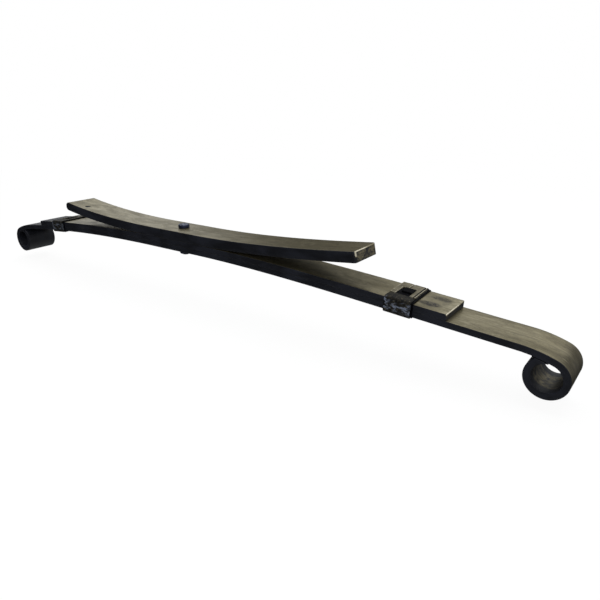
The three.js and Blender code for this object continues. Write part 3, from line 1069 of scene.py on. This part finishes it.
def build_clip(prefix, arm, scuffing, bare):
    path = arm_path(arm, SEAT, arm["reach"])
    _, x, z, heading = at_distance(path, CLIP_REACH[arm["body"]])
    place = Matrix.Translation((arm["side"] * x, 0, MAIN_TOP + z))
    place = place @ Matrix.Rotation(-arm["side"] * heading, 4, "Y")
    skew = Matrix.Identity(4)
    skew[0][1] = -CLIP_SKEW / (2 * (STRAP_HALF_WIDTH + STRAP_THICKNESS))
    place = place @ skew
    pieces = (
        (strap(prefix + "_clip_strap_fine", place, scuffing, bare), "_clip_strap", "strap_steel"),
        (liner(prefix + "_clip_liner_fine", place), "_clip_liner", "liner_rubber"),
        (boss(prefix + "_clip_boss_fine", place), "_clip_liner", "liner_rubber"),
    )
    for obj, node, slot in pieces:
        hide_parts(prefix + node)
        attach(obj, arm["body"])


build_main_leaf()
build_second_leaf()
build_overload_leaf()
build_bolt()
build_nut()
build_clip("front", FRONT, 0.5, 0.45)
build_clip("rear", REAR, 1.0, 1.0)


# ---------------------------------------------------------------- stage

def build_floor():
    """A white sheet with a faint shadow, low enough for the eyes at full rebound, and clear from below."""
    low, high = cad_box
    rebound_drop = 0.013
    centre = Vector(((low.x + high.x) / 2, 0, low.z - rebound_drop))
    bpy.ops.mesh.primitive_circle_add(vertices=96, radius=30, fill_type="NGON", location=centre)
    floor = bpy.context.object
    floor.name = "floor"
    s = Surface("pale_floor")
    s.finish(srgb(250, 250, 249), 0.9, 0.0)
    away = s.add("VectorMath", "Value", {0: s.place()}, operation="LENGTH")
    glow = s.add("Emission", 0, {"Color": (1, 1, 1, 1)})
    glow_share = s.band(away, 0.35, 1.6, 0.93, 1.0)
    sheet_top = s.add("MixShader", 0, {0: glow_share, 1: s.shader.outputs[0], 2: glow})
    from_below = s.add("NewGeometry", "Backfacing")
    clear = s.add("BsdfTransparent", 0)
    seen = s.add("MixShader", 0, {0: from_below, 1: sheet_top, 2: clear})
    s.feed(s.tree.nodes["Material Output"].inputs["Surface"], seen)
    floor.data.materials.append(s.material)
    floor.visible_glossy = False
    floor.visible_diffuse = False


def area_light(name, place, aim, size, watts):
    data = bpy.data.lights.new(name, "AREA")
    data.shape = "RECTANGLE"
    data.size, data.size_y = size
    data.energy = watts
    lamp = bpy.data.objects.new(name, data)
    lamp.location = place
    lamp.rotation_euler = (Vector(aim) - Vector(place)).to_track_quat("-Z", "Y").to_euler()
    lamp.visible_glossy = False
    bpy.context.collection.objects.link(lamp)


def build_world():
    """White behind the object. Its reflections see a dark room with four soft lights round it, a grey
    ceiling and a dim glow from below."""
    world = bpy.data.worlds.new("studio")
    world.use_nodes = True
    world.node_tree.nodes.clear()
    n = Nodes(world.node_tree)
    direction = n.add("TexCoord", "Generated")
    height = n.add("SeparateXYZ", "Z", {0: direction})
    level = n.add("VectorMath", "Vector", {0: direction, 1: (1, 1, 0)}, operation="MULTIPLY")
    heading = n.add("VectorMath", "Vector", {0: level}, operation="NORMALIZE")

    def soft_light(azimuth, inner, outer, low, high, strength):
        """A patch round an azimuth, full within inner degrees and gone outside outer, fading in between two
        heights."""
        azimuth, inner, outer = (math.radians(a) for a in (azimuth, inner, outer))
        aim = (math.cos(azimuth), math.sin(azimuth), 0)
        toward = n.add("VectorMath", "Value", {0: heading, 1: aim}, operation="DOT_PRODUCT")
        sideways = n.band(toward, math.cos(outer), math.cos(inner))
        return n.product(sideways, n.band(height, low, high), strength)

    strength = n.total(
        0.03,
        soft_light(160, 18, 30, -0.02, 0.1, 0.85),
        soft_light(92, 8, 34, 0.08, 0.36, 0.74),
        soft_light(30, 20, 70, -0.5, 0.1, 0.3),
        soft_light(312, 16, 44, 0.0, 0.3, 0.8),
        n.band(height, -0.75, -0.42, 0.35, 0.0),
        n.band(height, 0.5, 0.85, 0.0, 0.4),
    )
    room = n.add("Background", 0, {"Color": (0.96, 0.98, 1.0, 1), "Strength": strength})
    white = n.add("Background", 0, {"Color": (1, 1, 1, 1)})
    seen = n.add("MixShader", 0, {0: n.add("LightPath", "Is Camera Ray"), 1: room, 2: white})
    n.feed(n.tree.nodes.new("ShaderNodeOutputWorld").inputs["Surface"], seen)
    bpy.context.scene.world = world


def build_camera():
    """Looks down at the rear end of the spring from its near side."""
    azimuth, elevation, roll = (math.radians(a) for a in (36.4, 19.9, -0.59))
    data = bpy.data.cameras.new("camera")
    data.sensor_width = 36
    data.lens = 33.54
    data.shift_x, data.shift_y = -0.0031, -0.0122
    data.clip_start, data.clip_end = 0.01, 100
    camera = bpy.data.objects.new("camera", data)
    camera.location = (0.5388, -0.4773, 0.1595)
    camera.rotation_euler = (math.pi / 2 - elevation, 0, azimuth)
    camera.rotation_euler.rotate_axis("Z", roll)
    bpy.context.collection.objects.link(camera)
    bpy.context.scene.camera = camera


build_floor()
area_light("overhead", (0.0, 0.3, 2.0), (0, 0, 0), (2.2, 2.2), 30)
area_light("near_fill", (0.9, -2.0, 0.8), (0.1, 0, 0), (1.8, 1.0), 26)
build_world()
build_camera()
bpy.context.scene.view_settings.view_transform = "Standard"
